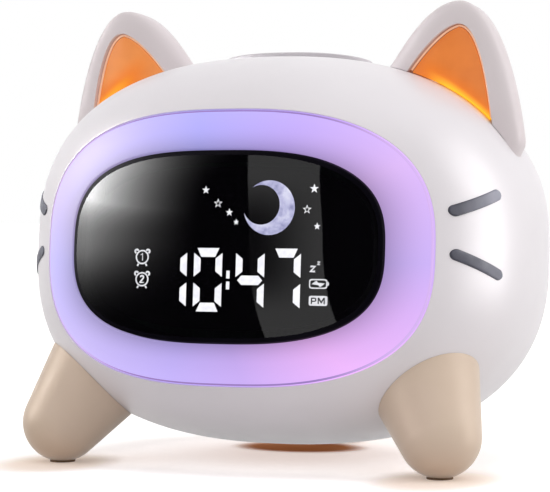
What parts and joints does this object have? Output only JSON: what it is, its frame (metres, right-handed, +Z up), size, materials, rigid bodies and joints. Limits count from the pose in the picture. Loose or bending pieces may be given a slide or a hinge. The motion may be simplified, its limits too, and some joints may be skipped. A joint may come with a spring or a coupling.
{
  "type": "kids alarm clock with night light",
  "caption": "Cat-head alarm clock and night light: rounded case on short legs, lit ring round a dark display, glowing ears, press bar on top, keys and a power slider at the back.",
  "frame": {"origin": "on the ground under the middle of the head", "axes": "+X to the viewer's right when facing the display, +Y to the back, +Z up"},
  "size_m": [0.14, 0.1142, 0.1239],
  "materials": {
    "case_white": "satin, fine grain",
    "panel_white": "satin",
    "ring_milk": "translucent milk diffuser, lit lavender",
    "lens_smoke": "polished smoke-black window",
    "inner_black": "matt black",
    "inner_white": "matt white reflector",
    "display_mask": "printed mask film with light symbols",
    "guide_clear": "frosted light guides",
    "board_green": "solder-masked circuit board",
    "lamp_yellow": "small lamps",
    "chip_black": "moulded chips and connectors",
    "steel": "zinc-plated",
    "amber": "translucent amber window",
    "whisker_slate": "stuck-on strips",
    "leg_beige": "satin",
    "pad_rubber": "soft pads",
    "button_grey": "satin",
    "cell_blue": "wrapped cell",
    "speaker_paper": "paper cone and metal can",
    "lead_red": "insulated leads",
    "ribbon_grey": "flat ribbon cable"
  },
  "bodies": {
    "case": {"front_shell": "case_white", "rear_shell": "case_white", "back_panel": "panel_white", "light_ring": "ring_milk", "display_lens": "lens_smoke", "lens_bezel": "inner_black", "ring_reflector": "inner_white", "display_film": "display_mask", "display_block": "inner_white", "digit_guides": "guide_clear", "face_board": "board_green", "ring_lamps": "lamp_yellow", "face_frame": "inner_white", "frame_screws": "steel", "main_board": "board_green", "main_board_parts": "chip_black", "board_screws": "steel", "left_ear": "case_white", "right_ear": "case_white", "left_ear_window": "amber", "right_ear_window": "amber", "left_ear_lamp": "lamp_yellow", "right_ear_lamp": "lamp_yellow", "ear_screws": "steel", "whiskers": "whisker_slate", "left_leg": "leg_beige", "right_leg": "leg_beige", "rear_foot": "leg_beige", "foot_pads": "pad_rubber", "leg_washers": "steel", "leg_screws": "steel", "snooze_switch": "button_grey", "snooze_board": "board_green", "snooze_bracket": "inner_white", "snooze_screws": "steel", "key_board": "board_green", "key_switches": "button_grey", "power_switch": "steel", "usb_shell": "steel", "usb_tongue": "inner_black", "speaker": "speaker_paper", "speaker_gasket": "pad_rubber", "battery_cell": "cell_blue", "battery_cradle": "inner_black", "cradle_screws": "steel", "case_screws": "steel", "panel_screws": "steel", "ribbon_cable": "ribbon_grey", "leads": "lead_red"},
    "snooze": {"snooze_bar": "case_white", "snooze_plunger": "inner_black"},
    "set_key": {"set_button": "button_grey", "set_plunger": "inner_black"},
    "alarm_key": {"alarm_button": "button_grey", "alarm_plunger": "inner_black"},
    "down_key": {"down_button": "button_grey", "down_plunger": "inner_black"},
    "up_key": {"up_button": "button_grey", "up_plunger": "inner_black"},
    "slider": {"power_slider": "inner_black"}
  },
  "joints": [
    {"name": "snooze_press", "type": "slide", "parent": "case", "child": "snooze", "axis": [0, -0.0785, -0.9969], "range_m": [0, 0.0006], "stiffness_N_per_m": 2500, "springref_m": -0.0002},
    {"name": "set_press", "type": "slide", "parent": "case", "child": "set_key", "axis": [0, -0.9969, 0.0785], "range_m": [0, 0.0005], "stiffness_N_per_m": 1500, "springref_m": -0.0002},
    {"name": "alarm_press", "type": "slide", "parent": "case", "child": "alarm_key", "axis": [0, -0.9969, 0.0785], "range_m": [0, 0.0005], "stiffness_N_per_m": 1500, "springref_m": -0.0002},
    {"name": "down_press", "type": "slide", "parent": "case", "child": "down_key", "axis": [0, -0.9969, 0.0785], "range_m": [0, 0.0005], "stiffness_N_per_m": 1500, "springref_m": -0.0002},
    {"name": "up_press", "type": "slide", "parent": "case", "child": "up_key", "axis": [0, -0.9969, 0.0785], "range_m": [0, 0.0005], "stiffness_N_per_m": 1500, "springref_m": -0.0002},
    {"name": "power_slide", "type": "slide", "parent": "case", "child": "slider", "axis": [1, 0, 0], "range_m": [0, 0.003]}
  ]
}
